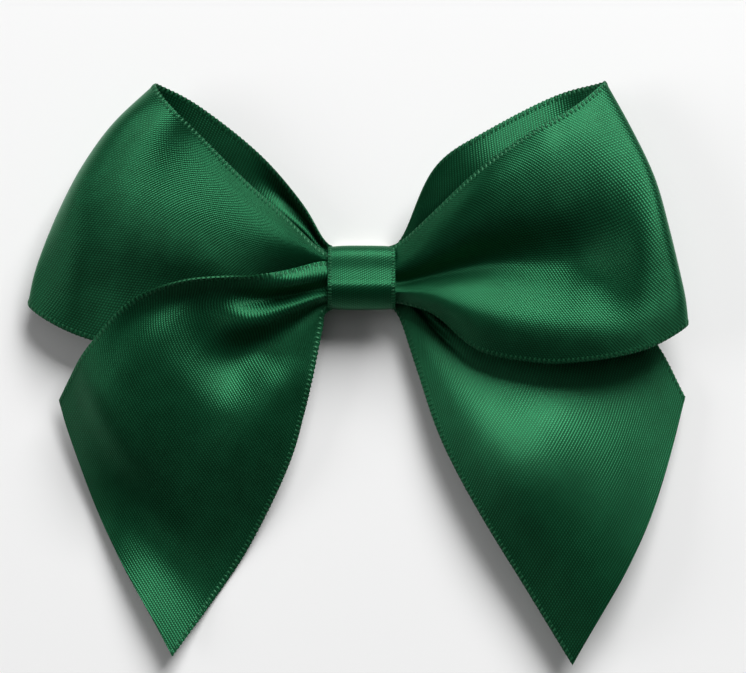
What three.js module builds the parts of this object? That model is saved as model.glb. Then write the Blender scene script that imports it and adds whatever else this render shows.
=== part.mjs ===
// A pre-made gift bow: two loops and two tails folded from one length of wide satin
// ribbon, gathered and bound at the waist, covered by a narrow centre band, with a
// self-adhesive pad and its release liner behind the knot.
//
// Millimetres. The bow lies on its back: +Z is its front, +Y is up the bow and +X is
// to the right of someone who faces it. The origin is on the face that it lies on, in
// the middle of the release liner, straight behind the knot.

import * as THREE from 'three';

// ---- Driving dimensions ----

const LINER_THICKNESS = 0.25;
const PAD_THICKNESS = 0.95;
const GLUE_THICKNESS = 0.55;
const SEAT_GAP = 0.05;              // between pieces that are pressed flat together

const PAD_WIDTH = 9;
const PAD_CORNER = 0.8;
const GLUE_RADIUS = 3.2;
const TAB_WIDTH = 4.6;              // the finger tab of the release liner
const TAB_REACH = 3;

const BAND_WIDTH = 10;              // the narrow ribbon of the centre band
const BAND_THICKNESS = 0.35;

const OPEN_THICKNESS = 0.5;         // the wide ribbon where it lies open
const GATHERED_THICKNESS = 1.6;     // the same ribbon gathered at the waist
const PINCHED_THICKNESS = 1.0;      // and under the binding thread
const GATHER_FADE = 4;              // how soon the gathers open out, from the band
const LAYER_HEIGHTS = { back: 3.6, middle: 5.5, front: 7.4 };
const ROOT_X = 5.4;                 // where loops and tails begin, just clear of the band

const THREAD_RADIUS = 0.17;
const THREAD_TURNS = 4;
const THREAD_PITCH = 0.5;
const THREAD_HALF_WIDTH = 4.1;
const THREAD_HALF_DEPTH = 2.45;

const KNOT_Y = -0.2;                // the knot's middle, a little below the origin

// ---- Materials ----

const satin = new THREE.MeshStandardMaterial({ color: 0x14703c, roughness: 0.35, metalness: 0 });
const bandSatin = new THREE.MeshStandardMaterial({ color: 0x18783f, roughness: 0.32, metalness: 0 });
const thread = new THREE.MeshStandardMaterial({ color: 0x11562f, roughness: 0.55, metalness: 0 });
const hotMelt = new THREE.MeshStandardMaterial({ color: 0xe6e2d2, roughness: 0.3, metalness: 0 });
const foam = new THREE.MeshStandardMaterial({ color: 0xf2f1ec, roughness: 0.9, metalness: 0 });
const linerPaper = new THREE.MeshStandardMaterial({ color: 0xf5ecc8, roughness: 0.35, metalness: 0 });

// ---- Ribbon surfaces ----

function point([x, y, z]) {
  return new THREE.Vector3(x, y, z);
}

// A surface carried by three lines along the ribbon: one selvedge, the middle and the
// other selvedge. Their points match in order, so a fold keeps its place across the width.
function ribbonGrid(lines, rows, columns) {
  const curves = lines.map((line) => new THREE.CatmullRomCurve3(line.map(point)));
  const grid = [];
  for (let i = 0; i <= rows; i += 1) {
    const [first, middle, last] = curves.map((curve) => curve.getPoint(i / rows));
    const row = [];
    for (let j = 0; j <= columns; j += 1) {
      const v = j / columns;
      row.push(new THREE.Vector3()
        .addScaledVector(first, 2 * (v - 0.5) * (v - 1))
        .addScaledVector(middle, 4 * v * (1 - v))
        .addScaledVector(last, 2 * v * (v - 0.5)));
    }
    grid.push(row);
  }
  return grid;
}

function gridNormal(grid, i, j) {
  const lastRow = grid.length - 1;
  const lastColumn = grid[0].length - 1;
  const along = grid[Math.min(i + 1, lastRow)][j].clone().sub(grid[Math.max(i - 1, 0)][j]);
  const across = grid[i][Math.min(j + 1, lastColumn)].clone().sub(grid[i][Math.max(j - 1, 0)]);
  return along.cross(across).normalize();
}

// Thickens a grid of points into one closed solid. thicknessAt gives it at each point.
function sheetSolid(grid, thicknessAt) {
  const rows = grid.length;
  const columns = grid[0].length;
  const positions = [];
  for (const side of [0.5, -0.5]) {
    grid.forEach((row, i) => row.forEach((middle, j) => {
      const offset = gridNormal(grid, i, j).multiplyScalar(side * thicknessAt(middle));
      positions.push(...middle.clone().add(offset).toArray());
    }));
  }
  const below = rows * columns;
  const at = (i, j) => i * columns + j;
  const index = [];
  const quad = (a, b, c, d) => index.push(a, b, c, a, c, d);
  for (let i = 0; i < rows - 1; i += 1) {
    for (let j = 0; j < columns - 1; j += 1) {
      quad(at(i, j), at(i + 1, j), at(i + 1, j + 1), at(i, j + 1));
      quad(below + at(i, j + 1), below + at(i + 1, j + 1), below + at(i + 1, j), below + at(i, j));
    }
    quad(at(i + 1, 0), at(i, 0), below + at(i, 0), below + at(i + 1, 0));
    const end = columns - 1;
    quad(at(i, end), at(i + 1, end), below + at(i + 1, end), below + at(i, end));
  }
  for (let j = 0; j < columns - 1; j += 1) {
    quad(at(0, j), at(0, j + 1), below + at(0, j + 1), below + at(0, j));
    const end = rows - 1;
    quad(at(end, j + 1), at(end, j), below + at(end, j), below + at(end, j + 1));
  }
  const geometry = new THREE.BufferGeometry();
  geometry.setAttribute('position', new THREE.Float32BufferAttribute(positions, 3));
  geometry.setIndex(index);
  geometry.computeVertexNormals();
  return geometry;
}

// The gathers open out as the ribbon leaves the band.
function gatheredThickness(place) {
  const out = Math.abs(place.x) - ROOT_X;
  return OPEN_THICKNESS + (GATHERED_THICKNESS - OPEN_THICKNESS) * Math.exp(-out / GATHER_FADE);
}

function ribbonPiece(name, lines, rows, columns) {
  const grid = ribbonGrid(lines, rows, columns);
  return named(name, sheetSolid(grid, gatheredThickness), satin);
}

function named(name, geometry, material) {
  const mesh = new THREE.Mesh(geometry, material);
  mesh.name = name;
  return mesh;
}

// ---- The bow ribbon: loops and tails ----

const { back: BACK, middle: MIDDLE, front: FRONT } = LAYER_HEIGHTS;

// Each loop leaves the knot, turns over at its outer fold and comes back behind itself.
function leftLoop() {
  const upper = [
    [-ROOT_X, 2.6, MIDDLE], [-11.6, 9.0, 7.6], [-19.5, 16.2, 9.6], [-26.9, 23.8, 9.6],
    [-30.5, 28.6, 7.0],
    [-27.6, 27.7, 4.0], [-20.0, 22.2, 2.2], [-11.6, 13.8, 2.2], [-ROOT_X, 3.9, BACK],
  ];
  const centre = [
    [-ROOT_X, -0.8, MIDDLE], [-15, 2.5, 8.6], [-27, 7.5, 11.8], [-39, 12.4, 12.6],
    [-44.4, 13.2, 7.4],
    [-40, 12, 2.0], [-28, 8.5, 0.9], [-15, 4, 1.6], [-ROOT_X, 0, BACK],
  ];
  const lower = [
    [-ROOT_X, -4.0, MIDDLE], [-14, -7.5, 7.0], [-27, -11.0, 8.4], [-41, -10.0, 8.4],
    [-50.0, -4.3, 5.4],
    [-43, -6.5, 2.4], [-30, -8.0, 1.2], [-16, -6.0, 1.8], [-ROOT_X, -3.9, BACK],
  ];
  return ribbonPiece('left_loop', [lower, centre, upper], 44, 8);
}

function rightLoop() {
  const upper = [
    [ROOT_X, 3.9, FRONT], [11.5, 10.3, 9.2], [21.3, 19.0, 11.4], [31.5, 25.0, 11.6],
    [36.0, 28.9, 8.6],
    [32.0, 28.2, 5.6], [22.5, 23.5, 4.6], [10.8, 15.4, 4.8], [ROOT_X, 3.9, MIDDLE],
  ];
  const centre = [
    [ROOT_X, 0.1, FRONT], [15, 2.0, 9.0], [27, 5.5, 11.0], [39.5, 9.5, 13.6],
    [45.0, 9.8, 8.8],
    [40, 9.5, 4.6], [28, 7.5, 4.0], [15, 5.0, 4.6], [ROOT_X, 0.1, MIDDLE],
  ];
  const lower = [
    [ROOT_X, -3.7, FRONT], [14.5, -8.0, 8.6], [25, -12.8, 10.4], [39, -11.6, 10.6],
    [48.5, -7.5, 7.6],
    [41, -8.5, 4.8], [29, -8.5, 4.4], [16, -6.0, 4.8], [ROOT_X, -3.7, MIDDLE],
  ];
  return ribbonPiece('right_loop', [upper, centre, lower], 44, 8);
}

// Each tail spreads from the knot to a slanting cut. The left one lies over its loop,
// the right one under its loop.
function leftTail() {
  const outer = [
    [-ROOT_X, 2.2, FRONT], [-16.3, 0.0, 10.6], [-27.1, -0.8, 12.6],
    [-36.6, -5.1, 12.0], [-42.3, -13.2, 10.0], [-45.4, -18.5, 8.0],
  ];
  const centre = [
    [-ROOT_X, -1.1, FRONT], [-13.5, -8.0, 9.8], [-21, -15.5, 9.8],
    [-27.5, -24, 7.6], [-33, -32, 5.4], [-38.2, -38.2, 3.6],
  ];
  const inner = [
    [-ROOT_X, -4.4, FRONT], [-7.0, -13.5, 6.8], [-9.8, -24.5, 5.2],
    [-14.6, -36.3, 3.2], [-21.5, -47.0, 1.6], [-28.4, -56.9, 0.35],
  ];
  return ribbonPiece('left_tail', [inner, centre, outer], 24, 8);
}

function rightTail() {
  const outer = [
    [ROOT_X, 2.2, BACK], [15.5, -0.5, 2.6], [26, -1.8, 2.0],
    [36.5, -3.8, 2.0], [43.9, -9.4, 2.4], [48.6, -18.1, 2.0],
  ];
  const centre = [
    [ROOT_X, -1.1, BACK], [13.5, -9, 3.4], [21, -16.5, 4.4],
    [28, -24.5, 4.2], [34.5, -32.5, 2.8], [42.0, -38.9, 1.4],
  ];
  const inner = [
    [ROOT_X, -4.2, BACK], [8.2, -13.5, 4.6], [12.0, -24.5, 4.4],
    [17.6, -35.4, 2.8], [24.8, -47.4, 1.4], [31.6, -58.4, 0.35],
  ];
  return ribbonPiece('right_tail', [outer, centre, inner], 24, 8);
}

// ---- The waist ----

// The ribbon passes through the band three times. Each pass is pinched in the middle,
// where the thread binds it.
function waistPass(name, height, halfWidth, pinchedHeight, pinchedHalfWidth) {
  const halfBand = BAND_WIDTH / 2;
  const line = (side) => [-1, -0.45, 0, 0.45, 1].map((share) => {
    const pinch = 1 - share * share;
    const reach = THREE.MathUtils.lerp(halfWidth, pinchedHalfWidth, pinch);
    const level = THREE.MathUtils.lerp(height, pinchedHeight, pinch);
    return [share * halfBand, KNOT_Y + side * reach, level];
  });
  const thickness = (place) => {
    const pinch = 1 - (place.x / halfBand) ** 2;
    return THREE.MathUtils.lerp(GATHERED_THICKNESS, PINCHED_THICKNESS, pinch);
  };
  const grid = ribbonGrid([line(-1), line(0), line(1)], 10, 4);
  return named(name, sheetSolid(grid, thickness), satin);
}

function waistPasses() {
  return [
    waistPass('waist_front_pass', FRONT, 2.9, 7.0, 2.8),
    waistPass('waist_middle_pass', MIDDLE, 4.1, 5.5, 3.6),
    waistPass('waist_back_pass', BACK, 3.2, 4.0, 2.8),
  ];
}

// A few turns of thread round the three passes: a helix on a flattened ring.
function bindingThread() {
  const steps = 16 * THREAD_TURNS;
  const flattened = (value) => Math.sign(value) * Math.sqrt(Math.abs(value));
  const points = [];
  for (let i = 0; i <= steps; i += 1) {
    const turn = (2 * Math.PI * THREAD_TURNS * i) / steps;
    points.push(new THREE.Vector3(
      THREAD_PITCH * THREAD_TURNS * (i / steps - 0.5),
      KNOT_Y + THREAD_HALF_WIDTH * flattened(Math.cos(turn)),
      MIDDLE + THREAD_HALF_DEPTH * flattened(Math.sin(turn)),
    ));
  }
  const section = new THREE.Shape().absarc(0, 0, THREAD_RADIUS, 0, 2 * Math.PI);
  const geometry = new THREE.ExtrudeGeometry(section, {
    steps, curveSegments: 6, extrudePath: new THREE.CatmullRomCurve3(points),
  });
  return named('binding_thread', geometry, thread);
}

// ---- The centre band and what is behind the knot ----

// One turn of narrow ribbon round the waist. Its outer end laps over its inner end behind.
function centreBand() {
  const turn = [
    [1.8, 2.5], [-2.4, 2.5], [-4.35, 3.2], [-4.82, 5.6], [-4.3, 7.9], [-2.2, 8.66],
    [1.8, 8.66], [3.9, 7.9], [4.42, 5.6], [3.95, 3.0], [2.2, 2.15], [0.6, 2.08], [-2.2, 2.08],
  ];
  const lineAt = (x) => turn.map(([y, z]) => [x, y, z]);
  const half = BAND_WIDTH / 2;
  const grid = ribbonGrid([lineAt(-half), lineAt(0), lineAt(half)], 60, 2);
  return named('centre_band', sheetSolid(grid, () => BAND_THICKNESS), bandSatin);
}

function roundedSquare(width, corner) {
  const half = width / 2;
  const shape = new THREE.Shape();
  shape.moveTo(-half + corner, -half);
  shape.absarc(half - corner, -half + corner, corner, -Math.PI / 2, 0);
  shape.absarc(half - corner, half - corner, corner, 0, Math.PI / 2);
  shape.absarc(-half + corner, half - corner, corner, Math.PI / 2, Math.PI);
  shape.absarc(-half + corner, -half + corner, corner, Math.PI, 1.5 * Math.PI);
  return shape;
}

function slab(shape, depth, height) {
  const geometry = new THREE.ExtrudeGeometry(shape, { depth, bevelEnabled: false, curveSegments: 5 });
  geometry.translate(0, 0, height);
  return geometry;
}

const PAD_LEVEL = LINER_THICKNESS + SEAT_GAP;
const GLUE_LEVEL = PAD_LEVEL + PAD_THICKNESS + SEAT_GAP;

function glueBead() {
  const rim = 0.15;
  const profile = [
    [0, 0], [GLUE_RADIUS - rim, 0], [GLUE_RADIUS, GLUE_THICKNESS / 2],
    [GLUE_RADIUS - rim, GLUE_THICKNESS], [0, GLUE_THICKNESS],
  ].map(([radius, height]) => new THREE.Vector2(radius, height));
  const geometry = new THREE.LatheGeometry(profile, 28);
  geometry.rotateX(Math.PI / 2);
  geometry.translate(0, KNOT_Y, GLUE_LEVEL);
  return named('glue_bead', geometry, hotMelt);
}

function adhesivePad() {
  return named('adhesive_pad', slab(roundedSquare(PAD_WIDTH, PAD_CORNER), PAD_THICKNESS, PAD_LEVEL), foam);
}

function releaseLiner() {
  const half = PAD_WIDTH / 2;
  const tab = TAB_WIDTH / 2;
  const tabCorner = 1.2;
  const shape = new THREE.Shape();
  shape.moveTo(-half + PAD_CORNER, -half);
  shape.absarc(half - PAD_CORNER, -half + PAD_CORNER, PAD_CORNER, -Math.PI / 2, 0);
  shape.lineTo(half, -tab);
  shape.absarc(half + TAB_REACH - tabCorner, -tab + tabCorner, tabCorner, -Math.PI / 2, 0);
  shape.absarc(half + TAB_REACH - tabCorner, tab - tabCorner, tabCorner, 0, Math.PI / 2);
  shape.lineTo(half, tab);
  shape.absarc(half - PAD_CORNER, half - PAD_CORNER, PAD_CORNER, 0, Math.PI / 2);
  shape.absarc(-half + PAD_CORNER, half - PAD_CORNER, PAD_CORNER, Math.PI / 2, Math.PI);
  shape.absarc(-half + PAD_CORNER, -half + PAD_CORNER, PAD_CORNER, Math.PI, 1.5 * Math.PI);
  return named('release_liner', slab(shape, LINER_THICKNESS, 0), linerPaper);
}

// ---- The whole bow ----

const bow = new THREE.Group();
bow.add(
  leftTail(),
  leftLoop(),
  rightLoop(),
  rightTail(),
  ...waistPasses(),
  bindingThread(),
  centreBand(),
  glueBead(),
  adhesivePad(),
  releaseLiner(),
);

export default bow;
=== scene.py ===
"""A pre-made gift bow of green satin ribbon, built round its CAD frame.

Laid out as a Blender add-on and run as a script. Each operator makes one piece, or one
group of like pieces, and main() calls them in order. Shapes are worked out in
millimetres and written to the meshes in metres, in the same frame as the CAD: the bow
lies on its back, +Z is its front, +Y its top and +X to the right of whoever faces it.
"""

import math

import bpy
import numpy as np
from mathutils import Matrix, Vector


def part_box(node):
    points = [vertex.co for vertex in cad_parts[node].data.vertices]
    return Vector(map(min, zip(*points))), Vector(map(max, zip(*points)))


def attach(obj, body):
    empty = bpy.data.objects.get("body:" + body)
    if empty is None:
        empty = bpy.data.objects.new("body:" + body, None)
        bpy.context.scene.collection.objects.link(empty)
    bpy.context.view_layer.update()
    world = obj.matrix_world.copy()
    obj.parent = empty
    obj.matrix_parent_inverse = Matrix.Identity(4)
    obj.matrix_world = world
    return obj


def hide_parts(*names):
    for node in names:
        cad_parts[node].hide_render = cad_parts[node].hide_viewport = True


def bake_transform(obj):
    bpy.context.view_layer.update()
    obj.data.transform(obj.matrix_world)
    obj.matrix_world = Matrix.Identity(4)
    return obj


bl_info = {
    "name": "Satin Gift Bow",
    "version": (1, 0, 0),
    "blender": (4, 5, 0),
    "location": "View3D > Sidebar > Gift Bow",
    "description": "Loops, tails, centre band and self-adhesive back of a ribbon bow",
    "category": "Add Mesh",
}

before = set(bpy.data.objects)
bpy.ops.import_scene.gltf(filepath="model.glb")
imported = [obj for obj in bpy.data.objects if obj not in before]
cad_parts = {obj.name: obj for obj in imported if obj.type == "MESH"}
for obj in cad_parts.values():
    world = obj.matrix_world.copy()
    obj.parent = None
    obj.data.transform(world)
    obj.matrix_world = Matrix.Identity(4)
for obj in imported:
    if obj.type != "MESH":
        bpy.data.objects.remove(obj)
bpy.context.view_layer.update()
MM = 0.001


# ---------------------------------------------------------------- settings


class BowSizes(bpy.types.PropertyGroup):
    """Sizes of the ribbon and of what holds it together."""

    ribbon_width: bpy.props.FloatProperty(
        name="Ribbon width", description="Flat width of the bow ribbon",
        default=38 * MM, unit="LENGTH")
    ribbon_thickness: bpy.props.FloatProperty(
        name="Ribbon thickness", description="Thickness of the satin",
        default=0.24 * MM, unit="LENGTH")
    selvedge_width: bpy.props.FloatProperty(
        name="Selvedge width", description="Width of the ribbed woven edge",
        default=1.0 * MM, unit="LENGTH")
    selvedge_pitch: bpy.props.FloatProperty(
        name="Selvedge pitch", description="From one rib of the woven edge to the next",
        default=0.72 * MM, unit="LENGTH")
    band_width: bpy.props.FloatProperty(
        name="Band width", description="Flat width of the centre band's ribbon",
        default=10 * MM, unit="LENGTH")
    thread_diameter: bpy.props.FloatProperty(
        name="Thread diameter", description="Diameter of the binding thread",
        default=0.32 * MM, unit="LENGTH")


class BowColours(bpy.types.PropertyGroup):
    """Colours as sRGB hex."""

    satin_float: bpy.props.StringProperty(
        name="Satin, floats", description="Face of the satin's long floats", default="#1B6C45")
    # Painted shade: the dark that the satin's gaps between floats, the selvedge's gaps between ribs and the
    # thread's twisted grooves are drawn towards.
    painted_gap_shade: bpy.props.StringProperty(
        name="Satin, between floats", description="Between the satin's floats", default="#04260F")
    selvedge: bpy.props.StringProperty(
        name="Selvedge", description="Ribbed woven edge", default="#134F31")
    thread: bpy.props.StringProperty(
        name="Thread", description="Binding thread", default="#12552F")
    glue: bpy.props.StringProperty(
        name="Glue", description="Set hot-melt glue", default="#E8E1C8")
    foam: bpy.props.StringProperty(
        name="Foam", description="Foam of the adhesive pad", default="#F1F0EA")
    liner: bpy.props.StringProperty(
        name="Liner", description="Release paper", default="#F3E7BE")
    floor: bpy.props.StringProperty(
        name="Floor", description="Surface that the bow lies on", default="#F4F4F4")


def sizes():
    return bpy.context.scene.bow_sizes


def colours():
    return bpy.context.scene.bow_colours


# ---------------------------------------------------------------- materials


def linear(hex_colour):
    """An sRGB hex colour as linear RGBA."""
    channels = [int(hex_colour[i:i + 2], 16) / 255 for i in (1, 3, 5)]
    lit = [c / 12.92 if c <= 0.04045 else ((c + 0.055) / 1.055) ** 2.4 for c in channels]
    return (*lit, 1.0)


def node(tree, kind, settings=None, inputs=None):
    """Adds a node. Each input is a value, or another node's output socket."""
    made = tree.nodes.new(kind)
    for name, value in (settings or {}).items():
        setattr(made, name, value)
    for key, value in (inputs or {}).items():
        if isinstance(value, bpy.types.NodeSocket):
            tree.links.new(value, made.inputs[key])
        else:
            made.inputs[key].default_value = value
    return made


def new_material(name):
    """An empty material and its node tree."""
    made = bpy.data.materials.new(name)
    made.use_nodes = True
    made.node_tree.nodes.clear()
    return made, made.node_tree


def finish_material(made, surface):
    tree = made.node_tree
    node(tree, "ShaderNodeOutputMaterial", inputs={"Surface": surface.outputs[0]})
    return made


def satin(name, float_length, row_pitch):
    """Double-faced polyester satin, woven warp-faced.

    The long warp floats give it rows of short bright dashes that step along a
    diagonal, with painted shade in the gaps between them, and a sheen that stretches
    across the ribbon and takes the dye's colour.
    Lengths are in millimetres, as the ribbon's own UV map is.
    """
    made, tree = new_material(name)
    place = node(tree, "ShaderNodeUVMap", {"uv_map": "ribbon"}).outputs[0]
    parts = node(tree, "ShaderNodeSeparateXYZ", inputs={0: place})
    across = parts.outputs[0]
    along = parts.outputs[1]

    # Each row of floats starts a satin step further on than the row beside it, counted
    # in floats. A wave along the row makes the dashes, and an arch across it their width.
    satin_step = -0.38
    row_number = node(tree, "ShaderNodeMath", {"operation": "MULTIPLY"}, {
        0: across, 1: 1 / row_pitch}).outputs[0]
    float_number = node(tree, "ShaderNodeMath", {"operation": "MULTIPLY"}, {
        0: along, 1: 1 / float_length}).outputs[0]
    stepped = node(tree, "ShaderNodeMath", {"operation": "MULTIPLY_ADD"}, {
        0: row_number, 1: satin_step, 2: float_number}).outputs[0]
    turn = node(tree, "ShaderNodeMath", {"operation": "MULTIPLY"}, {0: stepped, 1: 2 * math.pi}).outputs[0]
    wave = node(tree, "ShaderNodeMath", {"operation": "COSINE"}, {0: turn}).outputs[0]
    lifted = node(tree, "ShaderNodeMath", {"operation": "MULTIPLY_ADD"}, {
        0: wave, 1: 0.5, 2: 0.5}).outputs[0]
    half_turn = node(tree, "ShaderNodeMath", {"operation": "MULTIPLY"}, {
        0: row_number, 1: math.pi}).outputs[0]
    arch = node(tree, "ShaderNodeMath", {"operation": "SINE"}, {0: half_turn}).outputs[0]
    crown = node(tree, "ShaderNodeMath", {"operation": "ABSOLUTE"}, {0: arch}).outputs[0]
    dash = node(tree, "ShaderNodeMath", {"operation": "MULTIPLY"}, {0: lifted, 1: crown}).outputs[0]

    uneven = node(tree, "ShaderNodeTexNoise", {"noise_dimensions": "2D"},
                  {"Vector": place, "Scale": 0.35, "Detail": 3.0})
    slub = node(tree, "ShaderNodeMapping", {"vector_type": "POINT"},
                {"Vector": place, "Scale": (6.0, 0.12, 1.0)})
    streak = node(tree, "ShaderNodeTexNoise", {"noise_dimensions": "2D"},
                  {"Vector": slub.outputs[0], "Scale": 1.0, "Detail": 2.0})

    # The dashes carry the colour, and between them the cloth is darkened towards painted shade; faint
    # clouds and the slubs of thicker threads vary it.
    weave = node(tree, "ShaderNodeMath", {"operation": "MULTIPLY_ADD"}, {
        0: dash, 1: 0.75, 2: 0.08}).outputs[0]
    clouded = node(tree, "ShaderNodeMath", {"operation": "MULTIPLY_ADD"}, {
        0: uneven.outputs[0], 1: 0.2, 2: weave}).outputs[0]
    blend = node(tree, "ShaderNodeMath", {"operation": "MULTIPLY_ADD"}, {
        0: streak.outputs[0], 1: 0.16, 2: clouded}).outputs[0]
    colour = node(tree, "ShaderNodeMix", {"data_type": "RGBA"},
                  {"Factor": blend, "A": linear(colours().painted_gap_shade),
                   "B": linear(colours().satin_float)})
    rough = node(tree, "ShaderNodeMath", {"operation": "MULTIPLY_ADD"}, {
        0: uneven.outputs[0], 1: 0.1, 2: 0.38}).outputs[0]
    bump = node(tree, "ShaderNodeBump", inputs={
        "Height": dash, "Strength": 0.6, "Distance": 0.05 * MM})
    tangent = node(tree, "ShaderNodeTangent", {"direction_type": "UV_MAP", "uv_map": "ribbon"})

    # Polyester isn't a metal, but dyed floats glint in their own colour, which is what
    # the metallic part of the shader gives.
    surface = node(tree, "ShaderNodeBsdfPrincipled", inputs={
        "Base Color": colour.outputs["Result"],
        "Roughness": rough,
        "Normal": bump.outputs[0],
        "Tangent": tangent.outputs[0],
        "Metallic": 0.7,
        "IOR": 1.55,
        "Anisotropic": 0.8,
        "Specular Tint": linear("#CDF5DC"),
        "Sheen Weight": 0.03,
        "Sheen Roughness": 0.4,
        "Sheen Tint": linear("#7BE0A2"),
    })
    return finish_material(made, surface)


def woven_selvedge():
    """The ribbon's woven edge: weft loops turned tightly round a cord, duller than the face.

    The loops' own threads are about 0.1 mm wide and are drawn coarser, to show at all.
    """
    made, tree = new_material("woven_selvedge")
    place = node(tree, "ShaderNodeTexCoord").outputs["Object"]
    fine = node(tree, "ShaderNodeTexNoise", inputs={"Vector": place, "Scale": 2.6 / MM, "Detail": 3.0})
    counted = node(tree, "ShaderNodeUVMap", {"uv_map": "ribbon"}).outputs[0]
    ribs = node(tree, "ShaderNodeSeparateXYZ", inputs={0: counted}).outputs[1]
    # Painted shade: the colour darkens from each rib's crest into the gap between ribs.
    turn = node(tree, "ShaderNodeMath", {"operation": "MULTIPLY"}, {0: ribs, 1: 2 * math.pi}).outputs[0]
    wave = node(tree, "ShaderNodeMath", {"operation": "COSINE"}, {0: turn}).outputs[0]
    painted_rib_shade = node(tree, "ShaderNodeMath", {"operation": "MULTIPLY_ADD"}, {
        0: wave, 1: 0.4, 2: 0.3}).outputs[0]
    lit = node(tree, "ShaderNodeMath", {"operation": "MULTIPLY_ADD"}, {
        0: fine.outputs[0], 1: 0.3, 2: painted_rib_shade}).outputs[0]
    colour = node(tree, "ShaderNodeMix", {"data_type": "RGBA"},
                  {"Factor": lit, "A": linear(colours().painted_gap_shade),
                   "B": linear(colours().selvedge)})
    bump = node(tree, "ShaderNodeBump", inputs={
        "Height": fine.outputs[0], "Strength": 0.35, "Distance": 0.03 * MM})
    surface = node(tree, "ShaderNodeBsdfPrincipled", inputs={
        "Base Color": colour.outputs["Result"],
        "Normal": bump.outputs[0],
        "Metallic": 0.2,
        "Roughness": 0.42,
        "Specular Tint": linear("#A8F0C4"),
        "Sheen Weight": 0.2,
        "Sheen Tint": linear("#7BE0A2"),
    })
    return finish_material(made, surface)


def twisted_thread():
    """Polyester sewing thread: a twisted yarn with a low sheen."""
    made, tree = new_material("twisted_thread")
    place = node(tree, "ShaderNodeUVMap", {"uv_map": "ribbon"}).outputs[0]
    ply = node(tree, "ShaderNodeTexWave", {"wave_type": "BANDS", "bands_direction": "DIAGONAL"},
               {"Vector": place, "Scale": 1.6, "Distortion": 0.6})
    # Painted shade: the colour darkens into the grooves of the twist, along the same bands as the bump.
    colour = node(tree, "ShaderNodeMix", {"data_type": "RGBA"},
                  {"Factor": ply.outputs["Fac"], "A": linear(colours().painted_gap_shade),
                   "B": linear(colours().thread)})
    bump = node(tree, "ShaderNodeBump", inputs={
        "Height": ply.outputs["Fac"], "Strength": 0.6, "Distance": 0.05 * MM})
    surface = node(tree, "ShaderNodeBsdfPrincipled", inputs={
        "Base Color": colour.outputs["Result"],
        "Normal": bump.outputs[0],
        "Roughness": 0.55,
        "Sheen Weight": 0.3,
    })
    return finish_material(made, surface)


def hot_melt_glue():
    """Set hot-melt: a cloudy, slightly yellow wax-like resin with a soft gloss."""
    made, tree = new_material("hot_melt_glue")
    place = node(tree, "ShaderNodeTexCoord").outputs["Object"]
    cloud = node(tree, "ShaderNodeTexNoise", inputs={"Vector": place, "Scale": 0.7 / MM, "Detail": 4.0})
    colour = node(tree, "ShaderNodeMix", {"data_type": "RGBA"},
                  {"Factor": cloud.outputs[0], "A": linear("#D9CFAE"), "B": linear(colours().glue)})
    bump = node(tree, "ShaderNodeBump", inputs={
        "Height": cloud.outputs[0], "Strength": 0.4, "Distance": 0.1 * MM})
    surface = node(tree, "ShaderNodeBsdfPrincipled", inputs={
        "Base Color": colour.outputs["Result"],
        "Normal": bump.outputs[0],
        "Roughness": 0.28,
        "IOR": 1.48,
        "Subsurface Weight": 0.3,
        "Subsurface Scale": 0.8 * MM,
    })
    return finish_material(made, surface)


def closed_cell_foam():
    """Closed-cell polyethylene foam, cut: matt and white, pitted with cells about 0.2 mm wide."""
    made, tree = new_material("closed_cell_foam")
    place = node(tree, "ShaderNodeTexCoord").outputs["Object"]
    cells = node(tree, "ShaderNodeTexVoronoi", inputs={"Vector": place, "Scale": 1 / (0.2 * MM)})
    # Painted shade: the foam greys where its bump sinks the surface, towards the cells' edges.
    colour = node(tree, "ShaderNodeMix", {"data_type": "RGBA"},
                  {"Factor": cells.outputs["Distance"], "A": linear(colours().foam),
                   "B": linear("#C9C7BD")})
    bump = node(tree, "ShaderNodeBump", {"invert": True}, {
        "Height": cells.outputs["Distance"], "Strength": 0.7, "Distance": 0.06 * MM})
    surface = node(tree, "ShaderNodeBsdfPrincipled", inputs={
        "Base Color": colour.outputs["Result"],
        "Normal": bump.outputs[0],
        "Roughness": 0.9,
        "IOR": 1.5,
    })
    return finish_material(made, surface)


def release_paper():
    """Glassine release paper with a silicone coat: smooth, yellowish, faintly fibrous.

    Its fibres are some 0.02 mm wide, and are drawn as coarser clouds to show.
    """
    made, tree = new_material("release_paper")
    place = node(tree, "ShaderNodeTexCoord").outputs["Object"]
    fibres = node(tree, "ShaderNodeTexNoise", inputs={
        "Vector": place, "Scale": 1.5 / MM, "Detail": 6.0, "Distortion": 1.2})
    colour = node(tree, "ShaderNodeMix", {"data_type": "RGBA"},
                  {"Factor": fibres.outputs[0], "A": linear("#E9DAA6"), "B": linear(colours().liner)})
    bump = node(tree, "ShaderNodeBump", inputs={
        "Height": fibres.outputs[0], "Strength": 0.2, "Distance": 0.02 * MM})
    surface = node(tree, "ShaderNodeBsdfPrincipled", inputs={
        "Base Color": colour.outputs["Result"],
        "Normal": bump.outputs[0],
        "Roughness": 0.3,
        "Coat Weight": 0.3,
        "Coat Roughness": 0.25,
    })
    return finish_material(made, surface)


def once(name, make):
    """The material of that name, made on its first use."""
    return bpy.data.materials.get(name) or make()


# A real satin's rows are about 0.1 mm apart. Both weaves are drawn some three times
# coarser, so that they show.


def bow_satin():
    return once("bow_satin", lambda: satin("bow_satin", float_length=0.45, row_pitch=0.33))


def band_satin():
    return once("band_satin", lambda: satin("band_satin", float_length=0.38, row_pitch=0.28))


def selvedge_material():
    return once("woven_selvedge", woven_selvedge)


# ---------------------------------------------------------------- curves and grids


def smooth_step(value):
    value = np.clip(value, 0.0, 1.0)
    return value * value * (3 - 2 * value)


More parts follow.
